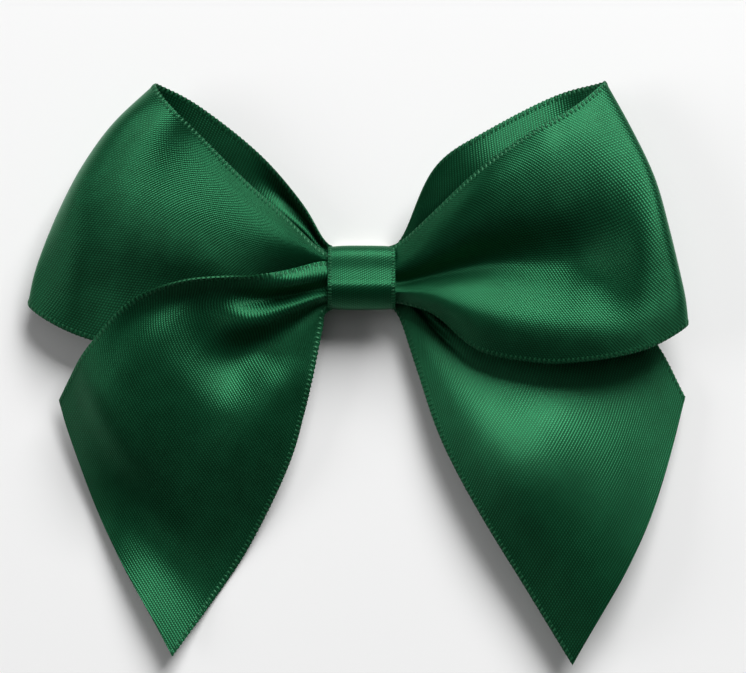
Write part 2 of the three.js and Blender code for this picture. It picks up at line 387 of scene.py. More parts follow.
def through(points, where):
    """Catmull-Rom curve through the points, at fractional places counted from 0."""
    points = np.asarray(points, float)
    padded = np.concatenate([[2 * points[0] - points[1]], points, [2 * points[-1] - points[-2]]])
    start = np.clip(np.floor(where).astype(int), 0, len(points) - 2)
    t = (where - start).reshape((-1,) + (1,) * (points.ndim - 1))
    p0, p1, p2, p3 = (padded[start + k] for k in range(4))
    return 0.5 * (2 * p1 + (p2 - p0) * t + (2 * p0 - 5 * p1 + 4 * p2 - p3) * t ** 2
                  + (3 * p1 - p0 - 3 * p2 + p3) * t ** 3)


def faired(points, where):
    """Uniform cubic B-spline with the points as its controls, kept on its two end points."""
    points = np.asarray(points, float)
    padded = np.concatenate([[2 * points[0] - points[1]], points, [2 * points[-1] - points[-2]]])
    start = np.clip(np.floor(where).astype(int), 0, len(points) - 2)
    t = (where - start).reshape((-1,) + (1,) * (points.ndim - 1))
    p0, p1, p2, p3 = (padded[start + k] for k in range(4))
    return ((1 - t) ** 3 * p0 + (3 * t ** 3 - 6 * t ** 2 + 4) * p1
            + (-3 * t ** 3 + 3 * t ** 2 + 3 * t + 1) * p2 + t ** 3 * p3) / 6


def guide_grid(stations, places, rows, columns):
    """A grid through the guide points. stations run along the ribbon; each holds one
    point for every place across it, from 0 at one selvedge to 1 at the other."""
    lines = np.asarray(stations, float)
    along = through(lines, np.linspace(0, len(lines) - 1, rows))
    across = np.interp(np.linspace(0, 1, columns), places, np.arange(len(places)))
    return through(along.transpose(1, 0, 2), across).transpose(1, 0, 2)


def refined(grid, rows, columns):
    """The same sheet with more rows and columns, faired."""
    along = faired(grid, np.linspace(0, len(grid) - 1, rows))
    return faired(along.swapaxes(0, 1), np.linspace(0, grid.shape[1] - 1, columns)).swapaxes(0, 1)


def normals_of(grid):
    along = np.gradient(grid, axis=0)
    across = np.gradient(grid, axis=1)
    normal = np.cross(along, across)
    return normal / np.maximum(np.linalg.norm(normal, axis=2, keepdims=True), 1e-9)


# ---------------------------------------------------------------- cloth


def flat_pattern(grid, width, root_share, roots, skew, level_row):
    """Where each grid point lies on the flat ribbon: (across, along), in millimetres.

    Lengths along come from the grid itself, counted from level_row, where the selvedges
    are skew apart. Also gives, for each row, the share of the width that it rests at: the
    rest is taken up by gathers. roots holds each gathered row and how many rows it reaches.
    """
    rows, columns = grid.shape[:2]
    step = np.linalg.norm(np.diff(grid, axis=0), axis=2)
    along = np.concatenate([np.zeros((1, columns)), np.cumsum(step, axis=0)])
    along = along - along[level_row] + np.linspace(0, skew, columns)
    across = np.tile(np.linspace(0, width, columns), (rows, 1))
    share = np.ones(rows)
    for root, reach in roots:
        distance = np.abs(np.arange(rows) - root) / reach
        share = np.minimum(share, root_share + (1 - root_share) * smooth_step(distance))
    return np.stack([across, along], axis=2), share


STRETCH_ALONG = 0.5          # how much of a thread's slack each pass takes up
STRETCH_ACROSS = 0.12
SHEAR = 0.06
TAUT = 0.8                   # how much of a thread's overstretch each pass takes back
BEND = 0.05
PASSES = 160
FLOOR_CLEARANCE = 0.25


def settle(grid, flat, share, hold):
    """Position-based cloth on a grid, kept above the floor.

    Threads along and across the ribbon return to their flat length, the weave resists
    shear, bending is faired away and each point is drawn back to its start by hold.
    """
    start = grid.copy()
    sheet = grid.copy()
    squeezed = flat.copy()
    middle = flat[..., 0].mean()
    squeezed[..., 0] = middle + (flat[..., 0] - middle) * share[:, None]
    whole = slice(None)
    families = []
    for parity in (0, 1):
        these, next_ones = slice(parity, -1, 2), slice(parity + 1, None, 2)
        families.append(((these, whole), (next_ones, whole), STRETCH_ALONG))
        families.append(((whole, these), (whole, next_ones), STRETCH_ACROSS))
        families.append(((these, slice(None, -1)), (next_ones, slice(1, None)), SHEAR))
        families.append(((these, slice(1, None)), (next_ones, slice(None, -1)), SHEAR))
    springs = []
    for first, second, strength in families:
        a, b = squeezed[first], squeezed[second]
        count = min(len(a), len(b)), min(a.shape[1], b.shape[1])
        rest = np.linalg.norm(b[:count[0], :count[1]] - a[:count[0], :count[1]], axis=2)
        springs.append((first, second, strength, rest, count))
    free = (1 - hold)[..., None]
    for _ in range(PASSES):
        for first, second, strength, rest, count in springs:
            a = sheet[first][:count[0], :count[1]]
            b = sheet[second][:count[0], :count[1]]
            gap = b - a
            length = np.linalg.norm(gap, axis=2)
            firm = np.where(length > rest, TAUT, strength)
            pull = (0.5 * firm * (length - rest) / np.maximum(length, 1e-6))[..., None] * gap
            a += pull
            b -= pull
        for axis in (0, 1):
            line = sheet.swapaxes(0, axis)
            bend = np.zeros_like(line)
            bend[1:-1] = line[2:] - 2 * line[1:-1] + line[:-2]
            fair = np.zeros_like(line)
            fair[1:-1] = bend[2:] - 2 * bend[1:-1] + bend[:-2]
            fair[0] = bend[1]
            fair[-1] = bend[-2]
            line -= BEND * fair
        sheet = start + (sheet - start) * free
        sheet[..., 2] = np.maximum(sheet[..., 2], FLOOR_CLEARANCE)
    return sheet


# ---------------------------------------------------------------- meshes


SHARP_EDGE = math.radians(60)


def mesh_object(name, vertices, faces, uvs, slots, materials):
    """A mesh object from millimetre vertices. uvs holds one (across, along) per vertex."""
    mesh = bpy.data.meshes.new(name)
    mesh.from_pydata((np.asarray(vertices) * MM).tolist(), [], faces)
    layer = mesh.uv_layers.new(name="ribbon")
    corners = np.zeros(len(mesh.loops), dtype=np.int32)
    mesh.loops.foreach_get("vertex_index", corners)
    layer.data.foreach_set("uv", np.asarray(uvs, np.float32)[corners].ravel())
    for material in materials:
        mesh.materials.append(material)
    mesh.polygons.foreach_set("material_index", np.asarray(slots, np.int32))
    mesh.shade_smooth()
    mesh.set_sharp_from_angle(angle=SHARP_EDGE)
    mesh.update()
    made = bpy.data.objects.new(name, mesh)
    bpy.context.scene.collection.objects.link(made)
    return made


def thick_sheet(grid, flat, thickness):
    """Vertices, faces and UVs of a grid made into a closed sheet."""
    rows, columns = grid.shape[:2]
    normal = normals_of(grid)
    top = (grid + normal * thickness / 2).reshape(-1, 3)
    bottom = (grid - normal * thickness / 2).reshape(-1, 3)
    at = np.arange(rows * columns).reshape(rows, columns)
    below = at + rows * columns
    faces = []

    def quads(a, b, c, d):
        faces.extend(np.stack([a.ravel(), b.ravel(), c.ravel(), d.ravel()], axis=1).tolist())

    quads(at[:-1, :-1], at[1:, :-1], at[1:, 1:], at[:-1, 1:])
    quads(below[:-1, 1:], below[1:, 1:], below[1:, :-1], below[:-1, :-1])
    quads(at[1:, 0], at[:-1, 0], below[:-1, 0], below[1:, 0])
    quads(at[:-1, -1], at[1:, -1], below[1:, -1], below[:-1, -1])
    quads(at[0, :-1], at[0, 1:], below[0, 1:], below[0, :-1])
    quads(at[-1, 1:], at[-1, :-1], below[-1, :-1], below[-1, 1:])
    uvs = np.concatenate([flat.reshape(-1, 2)] * 2)
    return np.concatenate([top, bottom]), faces, uvs


def ribbed_edge(edge, inward, normal, width, pitch, thickness):
    """Vertices, faces and UVs of one woven selvedge: a flat bead with a rib at each pitch.

    The UVs count the ribs along the edge.
    """
    sides = 8
    rings_per_rib = 8
    length = np.concatenate([[0], np.cumsum(np.linalg.norm(np.diff(edge, axis=0), axis=1))])
    samples = max(int(length[-1] / pitch * rings_per_rib), rings_per_rib)
    where = np.interp(np.linspace(0, length[-1], samples), length, np.arange(len(edge)))
    centre = through(edge, where)
    side = through(inward, where)
    up = through(normal, where)
    travel = np.linspace(0, length[-1], samples)
    rib = (0.5 + 0.5 * np.cos(travel / pitch * 2 * math.pi)) ** 1.3
    around = np.linspace(0, 2 * math.pi, sides + 1)[:-1]
    half = width / 2
    high = thickness * (0.35 + 0.6 * rib)
    wide = half * (0.86 + 0.24 * rib)
    ring = (centre[:, None] + side[:, None] * (half * 0.86 + wide[:, None] * np.cos(around))[..., None]
            + up[:, None] * (high[:, None] * np.sin(around))[..., None])
    at = np.arange(samples * sides).reshape(samples, sides)
    turned = np.roll(at, -1, axis=1)
    faces = np.stack([at[:-1], turned[:-1], turned[1:], at[1:]], axis=2).reshape(-1, 4).tolist()
    faces.append(at[0][::-1].tolist())
    faces.append(at[-1].tolist())
    uvs = np.stack([np.tile(around, samples), np.repeat(travel / pitch, sides)], axis=1)
    return ring.reshape(-1, 3), faces, uvs


def strand(path, radius, phase):
    """Vertices, faces and UVs of one ply of a two-ply thread, twisted round the path."""
    sides = 7
    lay = 7 * radius
    ahead = np.gradient(path, axis=0)
    ahead /= np.linalg.norm(ahead, axis=1, keepdims=True)
    side = np.cross(ahead, (1.0, 0.0, 0.0))
    side /= np.linalg.norm(side, axis=1, keepdims=True)
    up = np.cross(side, ahead)
    travel = np.concatenate([[0], np.cumsum(np.linalg.norm(np.diff(path, axis=0), axis=1))])
    twist = travel / lay * 2 * math.pi + phase
    offset = radius * 0.48 * (np.cos(twist)[:, None] * side + np.sin(twist)[:, None] * up)
    around = np.linspace(0, 2 * math.pi, sides + 1)[:-1]
    ring = (path + offset)[:, None] + radius * 0.54 * (
        np.cos(around)[:, None] * side[:, None] + np.sin(around)[:, None] * up[:, None])
    at = np.arange(len(path) * sides).reshape(-1, sides)
    turned = np.roll(at, -1, axis=1)
    faces = np.stack([at[:-1], turned[:-1], turned[1:], at[1:]], axis=2).reshape(-1, 4).tolist()
    faces.append(at[0][::-1].tolist())
    faces.append(at[-1].tolist())
    uvs = np.stack([np.tile(around, len(path)), np.repeat(travel, sides)], axis=1)
    return ring.reshape(-1, 3), faces, uvs


def ribbon_object(name, grid, flat, body_material, edge_scale=1.0):
    """A ribbon with woven selvedges on its two long edges."""
    bow = sizes()
    thickness = bow.ribbon_thickness / MM
    vertices, faces, uvs = thick_sheet(grid, flat, thickness)
    slots = [0] * len(faces)
    normal = normals_of(grid)
    for edge, inner in ((0, 1), (-1, -2)):
        inward = grid[:, inner] - grid[:, edge]
        inward /= np.linalg.norm(inward, axis=1, keepdims=True)
        bead = ribbed_edge(grid[:, edge], inward, normal[:, edge], bow.selvedge_width / MM * edge_scale,
                           bow.selvedge_pitch / MM * edge_scale, thickness)
        faces += [[corner + len(vertices) for corner in face] for face in bead[1]]
        slots += [1] * len(bead[1])
        vertices = np.concatenate([vertices, bead[0]])
        uvs = np.concatenate([uvs, bead[2]])
    return mesh_object(name, vertices, faces, uvs, slots, [body_material, selvedge_material()])


CORNER_STEPS = 8


def rounded_outline(low, high, corner, inward, level):
    """A rounded rectangle as a closed ring of points, drawn in by inward, at one level."""
    points = []
    for x_side, y_side, begin in ((1, -1, -90), (1, 1, 0), (-1, 1, 90), (-1, -1, 180)):
        edge_x = (high[0] if x_side > 0 else low[0]) - x_side * (corner + inward)
        edge_y = (high[1] if y_side > 0 else low[1]) - y_side * (corner + inward)
        for step in range(CORNER_STEPS + 1):
            angle = math.radians(begin + step * 90 / CORNER_STEPS)
            points.append((edge_x + corner * math.cos(angle), edge_y + corner * math.sin(angle), level))
    return np.array(points)


# ---------------------------------------------------------------- loops and tails

# Guide points in millimetres. Each row of a list is one station along the ribbon, and
# holds one point for every place across it. Stations begin inside the centre band.

LEFT_TAIL_PLACES = (0, 0.1, 0.22, 0.4, 0.6, 0.8, 1)
LEFT_TAIL = (
    ((-2.5, 1.9, 6.8), (-2.5, 0.5, 7.3), (-2.5, -1.5, 6.3), (-2.5, -2.6, 7.4),
     (-2.5, -3.5, 6.4), (-2.5, -3.8, 6.0), (-2.5, -4.2, 5.6)),
    ((-6.0, 2.2, 7.2), (-6.0, 0.0, 8.2), (-5.9, -1.7, 6.0), (-5.8, -2.9, 7.6),
     (-5.7, -4.0, 6.0), (-5.5, -4.7, 6.0), (-5.3, -5.4, 5.8)),
    ((-11.0, 0.9, 8.9), (-10.8, -1.0, 9.8), (-10.4, -2.6, 5.6), (-9.8, -4.2, 8.2),
     (-8.8, -6.0, 5.6), (-7.4, -7.2, 6.0), (-5.9, -7.9, 5.8)),
    ((-16.3, 0.0, 10.6), (-16.0, -1.5, 8.8), (-15.4, -3.4, 6.6), (-14.4, -6.0, 8.4),
     (-12.8, -8.6, 5.4), (-9.8, -10.8, 5.8), (-6.8, -12.4, 6.0)),
    ((-21.0, -0.1, 12.2), (-20.6, -1.6, 9.6), (-19.8, -3.8, 8.2), (-18.2, -7.2, 8.4),
     (-15.8, -10.4, 4.6), (-11.6, -13.4, 6.2), (-7.5, -15.8, 6.0)),
    ((-27.1, -0.8, 12.6), (-26.4, -2.6, 9.6), (-25.2, -5.2, 8.6), (-22.8, -9.8, 7.0),
     (-19.0, -13.4, 5.2), (-13.8, -17.6, 7.2), (-8.6, -20.4, 5.0)),
    ((-34.2, -3.6, 11.8), (-33.2, -6.4, 10.2), (-31.8, -9.8, 10.8), (-28.4, -15.0, 9.5),
     (-23.0, -20.8, 7.8), (-17.4, -25.0, 7.2), (-11.0, -28.6, 4.0)),
    ((-40.8, -10.6, 8.6), (-39.6, -13.8, 9.4), (-37.8, -17.8, 10.0), (-34.0, -23.6, 8.8),
     (-29.0, -29.6, 5.4), (-22.8, -35.8, 3.2), (-16.8, -40.4, 1.0)),
    ((-43.4, -14.8, 5.6), (-42.2, -18.4, 6.0), (-40.4, -23.0, 6.0), (-37.2, -29.4, 4.6),
     (-32.8, -36.4, 1.6), (-27.6, -42.8, 0.7), (-22.4, -48.8, 0.6)),
    ((-45.4, -18.5, 2.8), (-44.2, -22.8, 2.8), (-42.4, -28.0, 2.4), (-39.8, -35.0, 1.8),
     (-36.2, -42.8, 2.6), (-32.4, -49.6, 3.6), (-28.4, -56.9, 3.9)),
)

RIGHT_TAIL_PLACES = (0, 0.2, 0.4, 0.6, 0.8, 1)
RIGHT_TAIL = (
    ((2.5, 2.2, 3.6), (2.5, 1.0, 3.4), (2.5, -0.4, 3.7), (2.5, -1.8, 3.4),
     (2.5, -3.2, 3.7), (2.5, -4.0, 3.8)),
    ((6.0, 2.0, 3.3), (6.0, 0.6, 3.2), (6.0, -1.0, 3.4), (6.0, -2.6, 3.5),
     (5.8, -4.4, 3.7), (5.4, -5.6, 3.6)),
    ((15.5, -0.5, 2.2), (14.6, -3.6, 2.3), (13.4, -6.8, 2.4), (12.0, -9.6, 3.2),
     (10.2, -11.8, 4.2), (8.2, -13.4, 3.6)),
    ((26.0, -1.8, 1.6), (24.6, -7.2, 2.0), (22.6, -12.2, 3.0), (20.0, -16.8, 4.4),
     (16.2, -21.4, 6.0), (12.0, -24.5, 4.4)),
    ((36.5, -3.8, 1.6), (34.0, -11.0, 2.2), (31.2, -17.4, 4.0), (27.6, -23.8, 7.0),
     (23.0, -30.2, 8.3), (18.0, -36.0, 5.0)),
    ((43.9, -9.4, 2.2), (41.4, -17.6, 3.0), (38.4, -25.2, 5.0), (34.6, -32.6, 7.4),
     (30.0, -39.6, 8.0), (24.8, -47.2, 4.6)),
    ((48.6, -18.1, 3.2), (46.4, -26.6, 4.2), (43.6, -35.2, 5.8), (40.2, -42.6, 7.6),
     (36.4, -49.6, 7.6), (31.6, -58.4, 4.4)),
)

LOOP_PLACES = (0, 0.18, 0.36, 0.5, 0.68, 0.85, 1)
RIGHT_LOOP = (
    ((2.5, 4.0, 5.8), (2.5, 2.6, 6.6), (2.5, 0.8, 7.0), (2.5, -0.9, 5.7),
     (2.5, -2.0, 7.4), (2.5, -2.9, 6.9), (2.5, -3.6, 6.3)),
    ((6.0, 5.3, 6.8), (6.0, 3.4, 7.6), (6.0, 1.2, 7.6), (6.0, -0.9, 5.3),
     (6.0, -2.1, 7.8), (6.0, -3.2, 6.9), (6.0, -4.0, 6.1)),
    ((10.7, 9.5, 9.8), (11.2, 7.2, 10.6), (11.6, 3.4, 9.2), (11.8, 0.5, 5.2),
     (11.8, -1.8, 8.8), (11.6, -4.2, 9.0), (11.2, -5.8, 6.0)),
    ((17.5, 15.9, 12.0), (18.2, 12.4, 13.0), (19.0, 7.0, 11.0), (19.4, 2.3, 5.4),
     (19.2, -1.8, 8.8), (18.4, -6.4, 10.5), (17.6, -11.2, 7.0)),
    ((25.1, 21.3, 11.6), (26.2, 16.8, 12.7), (27.4, 9.4, 11.2), (27.8, 2.8, 6.2),
     (27.6, -2.6, 9.3), (27.0, -7.8, 11.2), (26.4, -12.9, 8.4)),
    ((29.0, 23.5, 10.8), (30.6, 18.8, 11.8), (32.2, 10.6, 10.9), (32.8, 3.0, 7.2),
     (32.6, -2.8, 9.8), (32.0, -8.0, 11.5), (31.4, -12.8, 9.2)),
    ((32.0, 25.4, 9.9), (34.2, 20.6, 10.9), (36.6, 12.4, 11.1), (37.6, 3.8, 9.8),
     (37.8, -2.8, 10.5), (37.8, -7.8, 11.6), (37.6, -12.0, 10.0)),
    ((34.4, 27.3, 8.8), (37.2, 21.6, 10.0), (40.2, 14.0, 10.9), (41.9, 6.0, 11.6),
     (42.8, -1.2, 11.4), (43.4, -6.2, 11.2), (43.4, -10.4, 10.0)),
    ((36.1, 29.1, 7.4), (39.8, 22.4, 8.8), (43.4, 14.8, 10.0), (45.3, 7.8, 10.6),
     (46.9, 1.0, 10.4), (47.9, -3.6, 9.8), (48.4, -7.4, 8.6)),
    ((35.4, 28.9, 5.6), (38.8, 22.2, 5.8), (42.2, 14.4, 6.0), (43.8, 8.0, 6.0),
     (45.2, 1.0, 5.8), (46.0, -3.4, 5.8), (46.2, -7.2, 5.8)),
    ((28.9, 27.1, 4.0), (30.6, 20.8, 4.6), (31.4, 14.0, 4.2), (31.7, 8.0, 3.8),
     (31.5, 1.4, 3.8), (31.2, -3.0, 4.0), (31.0, -7.4, 4.2)),
    ((18.2, 21.4, 8.2), (18.2, 15.0, 8.6), (18.2, 10.0, 5.6), (18.2, 6.0, 4.0),
     (18.0, 1.4, 3.8), (17.8, -2.0, 4.0), (17.4, -5.4, 4.4)),
    ((10.8, 16.2, 8.8), (9.8, 10.4, 7.0), (9.4, 6.4, 5.4), (9.2, 3.4, 4.6),
     (9.0, 0.6, 4.6), (8.8, -2.0, 4.9), (8.6, -4.4, 5.1)),
    ((5.9, 5.6, 5.8), (5.6, 3.8, 5.4), (5.6, 2.0, 5.0), (5.6, 0.4, 4.7),
     (5.6, -1.2, 4.7), (5.6, -2.6, 5.0), (5.6, -3.9, 5.2)),
    ((2.5, 4.0, 5.1), (2.5, 2.9, 5.2), (2.5, 1.5, 5.0), (2.5, 0.2, 4.9),
     (2.5, -1.2, 4.9), (2.5, -2.5, 5.1), (2.5, -3.6, 5.3)),
)
LEFT_LOOP = (
    ((-2.5, 2.8, 5.9), (-2.5, 1.8, 6.2), (-2.5, 0.6, 5.8), (-2.5, -0.6, 5.4),
     (-2.5, -2.0, 5.3), (-2.5, -3.0, 5.3), (-2.5, -4.0, 5.2)),
    ((-6.0, 3.9, 6.8), (-6.0, 3.2, 7.4), (-6.0, 2.2, 6.9), (-6.0, 0.8, 5.8),
     (-6.0, -1.2, 5.0), (-6.0, -2.8, 4.8), (-6.0, -4.2, 4.7)),
    ((-11.0, 8.6, 8.4), (-11.4, 7.0, 9.2), (-11.8, 4.8, 9.2), (-12.0, 2.4, 8.2),
     (-12.0, -0.6, 5.8), (-11.6, -3.6, 4.4), (-11.2, -6.4, 4.0)),
    ((-17.6, 14.5, 8.8), (-18.4, 12.0, 9.7), (-19.2, 8.6, 10.1), (-19.6, 5.2, 10.0),
     (-19.8, 0.8, 8.8), (-19.6, -4.4, 5.6), (-19.2, -9.4, 3.6)),
    ((-23.9, 20.8, 9.8), (-25.6, 17.6, 10.4), (-27.0, 13.2, 11.2), (-27.8, 8.8, 11.6),
     (-28.2, 3.2, 10.4), (-28.2, -3.6, 6.4), (-28.0, -10.8, 4.6)),
    ((-27.2, 24.0, 11.0), (-30.0, 20.4, 11.6), (-32.4, 15.4, 12.2), (-33.8, 10.4, 12.4),
     (-34.8, 4.4, 11.2), (-35.2, -3.0, 7.8), (-35.6, -10.8, 5.6)),
    ((-29.2, 26.2, 10.4), (-33.0, 21.8, 11.5), (-36.6, 16.4, 12.1), (-38.8, 11.2, 12.2),
     (-40.6, 4.8, 11.0), (-41.8, -1.8, 8.6), (-42.4, -9.0, 6.0)),
    ((-30.4, 28.0, 8.8), (-35.8, 23.0, 10.3), (-40.0, 17.0, 10.8), (-42.6, 11.8, 10.8),
     (-44.8, 5.4, 9.0), (-46.4, -0.6, 6.8), (-47.4, -6.4, 5.2)),
    ((-30.6, 28.9, 6.4), (-37.0, 22.8, 6.6), (-41.4, 16.8, 6.4), (-44.2, 11.8, 6.0),
     (-46.8, 6.2, 5.4), (-48.9, 0.6, 4.6), (-50.0, -4.2, 3.4)),
    ((-29.8, 28.7, 4.4), (-35.6, 22.0, 3.8), (-39.8, 15.8, 3.2), (-42.4, 10.8, 2.7),
     (-44.6, 5.2, 2.4), (-46.4, 0.2, 2.0), (-47.4, -4.2, 1.6)),
    ((-24.6, 25.9, 3.0), (-29.0, 20.0, 1.8), (-31.6, 13.8, 1.2), (-32.8, 9.2, 0.9),
     (-33.6, 3.8, 0.8), (-34.0, -1.4, 0.7), (-34.0, -6.6, 0.7)),
    ((-15.6, 18.7, 3.2), (-17.0, 13.4, 2.0), (-18.0, 9.4, 1.5), (-18.4, 6.2, 1.4),
     (-18.6, 2.4, 1.3), (-18.4, -1.2, 1.3), (-18.0, -5.0, 1.4)),
    ((-8.9, 11.0, 4.4), (-9.2, 7.8, 3.4), (-9.2, 5.2, 3.0), (-9.2, 3.2, 2.9),
     (-9.2, 0.8, 2.9), (-9.0, -1.6, 2.9), (-8.8, -4.0, 2.9)),
    ((-5.5, 5.4, 4.6), (-5.6, 3.6, 3.9), (-5.6, 2.2, 3.6), (-5.6, 0.8, 3.4),
     (-5.6, -0.8, 3.4), (-5.6, -2.4, 3.4), (-5.6, -3.9, 3.5)),
    ((-2.5, 3.9, 3.7), (-2.5, 2.8, 3.8), (-2.5, 1.6, 3.6), (-2.5, 0.4, 3.7),
     (-2.5, -1.0, 3.6), (-2.5, -2.4, 3.6), (-2.5, -3.8, 3.7)),
)
FOLD_STATION = 8             # of a loop, where it turns from its front to its back
TAIL_SKEW = 22               # how much further the inner selvedge runs to the slanting cut
ROOT_SHARE = 0.34            # of its width, that the solver's cloth rests at by the band
EDGE_HOLD = 0.6
INSIDE_HOLD = 0.5
GATHER_DEPTH = 1.5
TAIL_COUNTS = (112, 65)      # rows and columns of the finished meshes
LOOP_COUNTS = (206, 65)


def hold_weights(rows, columns, roots):
    """How firmly each point keeps to its guide: fully at the band, and about half elsewhere."""
    hold = np.full((rows, columns), INSIDE_HOLD)
    hold[:, (0, -1)] = EDGE_HOLD
    for root in roots:
        near = 1 - smooth_step((np.abs(np.arange(rows) - root) - 1) / 5)
        hold = np.maximum(hold, near[:, None])
    return hold


def fold_gathers(layer, pleats, until):
    """Folds a layer beside the knot into gathers, which sink below it and fade out further off.

    They run from the first selvedge to the share until of the width. Points only sink,
    and stop short of the floor.
    """
    distance = np.abs(layer[..., 0])
    near = smooth_step((distance - 4.8) / 2.5) * (1 - smooth_step((distance - 9) / 9))
    across = np.linspace(0, 1, layer.shape[1])
    fold = 0.5 - 0.5 * np.cos(2 * math.pi * pleats * across)
    fold *= 1 - smooth_step((across - until) / 0.2)
    sunk = layer[..., 2] - GATHER_DEPTH * near * fold
    layer[..., 2] = np.minimum(layer[..., 2], np.maximum(sunk, 2 * FLOOR_CLEARANCE))


def tail_sheet(stations, places):
    width = sizes().ribbon_width / MM
    rows, columns = 36, 25
    grid = guide_grid(stations, places, rows, columns)
    flat, share = flat_pattern(grid, width, ROOT_SHARE, [(0, 15)], TAIL_SKEW, rows - 1)
    hold = hold_weights(rows, columns, [0])
    hold[-1] = INSIDE_HOLD
    settled = settle(grid, flat, share, hold)
    return refined(settled, *TAIL_COUNTS), refined(flat, *TAIL_COUNTS)


def loop_sheet(stations):
    width = sizes().ribbon_width / MM
    rows, columns = 70, 25
    grid = guide_grid(stations, LOOP_PLACES, rows, columns)
    fold_row = round(FOLD_STATION / (len(stations) - 1) * (rows - 1))
    flat, share = flat_pattern(grid, width, ROOT_SHARE, [(0, 14), (rows - 1, 14)], 0, fold_row)
    hold = hold_weights(rows, columns, [0, rows - 1])
    settled = settle(grid, flat, share, hold)
    return refined(settled, *LOOP_COUNTS), refined(flat, *LOOP_COUNTS)


def add_ribbon(name, grid, flat, held, side, bodies):
    """Builds one stretch of the bow ribbon in place of its CAD part, which it hides.

    side, -1 on the left of the knot and 1 on its right, is not used.
    """
    piece = ribbon_object(name, grid, flat, bow_satin())
    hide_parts(name.replace("_ribbon", ""))
    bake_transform(piece)


class BOW_OT_tails(bpy.types.Operator):
    """The two slant-cut tails, spread from the gathers at the knot"""

    bl_idname = "bow.tails"
    bl_label = "Tails"

    def execute(self, context):
        left = tail_sheet(LEFT_TAIL, LEFT_TAIL_PLACES)
        add_ribbon("left_tail_ribbon", *left, "gathered", -1, ("left_loop", "left_tail"))
        right = tail_sheet(RIGHT_TAIL, RIGHT_TAIL_PLACES)
        fold_gathers(right[0], pleats=6, until=0.5)
        add_ribbon("right_tail_ribbon", *right, "gathered", 1, ("knot", "right_tail"))
        return {"FINISHED"}


class BOW_OT_loops(bpy.types.Operator):
    """The two loops, each folded over at its outer end"""

    bl_idname = "bow.loops"
    bl_label = "Loops"

    def execute(self, context):
        left = loop_sheet(LEFT_LOOP)
        fold_row = len(left[0]) * FOLD_STATION // (len(LEFT_LOOP) - 1)
        fold_gathers(left[0][fold_row:], pleats=5, until=0.9)
        add_ribbon("left_loop_ribbon", *left, "folded", -1, ("knot", "left_loop"))
        right = loop_sheet(RIGHT_LOOP)
        add_ribbon("right_loop_ribbon", *right, "folded", 1, ("right_tail", "right_loop"))
        return {"FINISHED"}


# ---------------------------------------------------------------- the knot

PASS_LENGTH = 4.7            # of ribbon in each pass, along x
WAIST_PLEATS = 13
PLEAT_HEIGHT = 0.66          # either way from a pass's middle
BAND_FRONT_Z = 6             # a pass above this lies right under the band
THREAD_TURNS = 4


class BOW_OT_waist(bpy.types.Operator):
    """The ribbon's three pleated passes inside the band"""

    bl_idname = "bow.waist"
    bl_label = "Waist"

    def execute(self, context):
        names = ("waist_front_pass", "waist_middle_pass", "waist_back_pass")
        vertices = np.zeros((0, 3))
        uvs = np.zeros((0, 2))
        faces = []
        for name in names:
            grid, flat = self.pleated_pass(name)
            points, quads, places = thick_sheet(grid, flat, 0.12)
            faces += [[corner + len(vertices) for corner in face] for face in quads]
            vertices = np.concatenate([vertices, points])
            uvs = np.concatenate([uvs, places])
        piece = mesh_object("waist_pleats", vertices, faces, uvs, [0] * len(faces), [bow_satin()])
        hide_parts(*names)
        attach(piece, "knot")
        return {"FINISHED"}

    def pleated_pass(self, name):
        """One pass of the ribbon, folded into fine upright pleats and pinched by the thread."""
        low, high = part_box(name)
        middle = (np.array(low) + np.array(high)) / 2 / MM
        reach = (high[1] - low[1]) / 2 / MM * 0.94
        along = np.linspace(-PASS_LENGTH / 2, PASS_LENGTH / 2, 13)
        across = np.linspace(-1, 1, WAIST_PLEATS * 16 + 1)
        pinch = 1 - (along / PASS_LENGTH * 2) ** 2
        grid = np.zeros((len(along), len(across), 3))
        grid[..., 0] = along[:, None]
        grid[..., 1] = middle[1] + (reach * (1 - 0.1 * pinch))[:, None] * across
        pleat = PLEAT_HEIGHT * np.sin(across * WAIST_PLEATS * math.pi)
        drop = 0.2 if middle[2] > BAND_FRONT_Z else 0.1
        grid[..., 2] = middle[2] - drop + (1 - 0.4 * pinch)[:, None] * pleat
        width = sizes().ribbon_width / MM
        flat = np.stack(np.broadcast_arrays((across + 1) * width / 2, along[:, None]), axis=2)
        return grid, flat


class BOW_OT_thread(bpy.types.Operator):
    """The binding thread: two twisted plies wound four times round the waist"""

    bl_idname = "bow.thread"
    bl_label = "Binding thread"

    def execute(self, context):
        low, high = (np.array(corner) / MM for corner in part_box("binding_thread"))
        radius = sizes().thread_diameter / MM / 2
        middle = (low + high) / 2
        half = (high - low) / 2 - radius
        angle = np.linspace(0, 2 * math.pi * THREAD_TURNS, 900)
        path = np.stack([
            middle[0] + half[0] * (angle / angle[-1] * 2 - 1),
            middle[1] + half[1] * np.cos(angle),
            middle[2] + half[2] * 0.88 * np.sin(angle),
        ], axis=1)
        parts = [strand(path, radius, phase) for phase in (0, math.pi)]
        vertices = np.concatenate([part[0] for part in parts])
        faces = parts[0][1] + [[c + len(parts[0][0]) for c in face] for face in parts[1][1]]
        uvs = np.concatenate([part[2] for part in parts])
        material = once("twisted_thread", twisted_thread)
        piece = mesh_object("binding_thread_yarn", vertices, faces, uvs, [0] * len(faces), [material])
        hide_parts("binding_thread")
        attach(piece, "knot")
        return {"FINISHED"}


